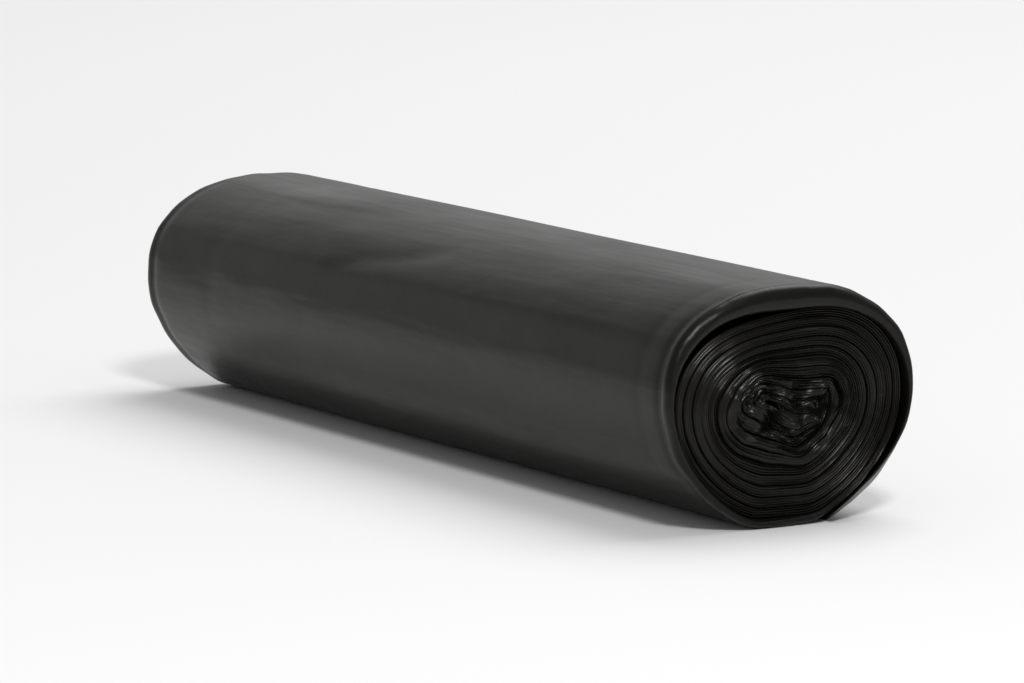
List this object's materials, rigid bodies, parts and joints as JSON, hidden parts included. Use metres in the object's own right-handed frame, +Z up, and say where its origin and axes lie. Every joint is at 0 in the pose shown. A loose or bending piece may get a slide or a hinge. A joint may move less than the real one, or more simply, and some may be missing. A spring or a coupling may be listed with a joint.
{
  "type": "bin bag roll",
  "caption": "Coreless roll of folded black polythene bin bags, lying on its side, with a crumpled closed centre, a loose outer wrap and a free tail edge",
  "frame": {"origin": "under the middle of the roll, on the surface that it lies on", "axes": "+X along the roll to the end whose outer wrap stands out, +Z up, +Y to the right seen from that end"},
  "size_m": [0.2678, 0.0662, 0.0552],
  "materials": {
    "film": "satin black polythene film"
  },
  "bodies": {
    "root": {"bin_bag_roll": "film"}
  },
  "joints": []
}
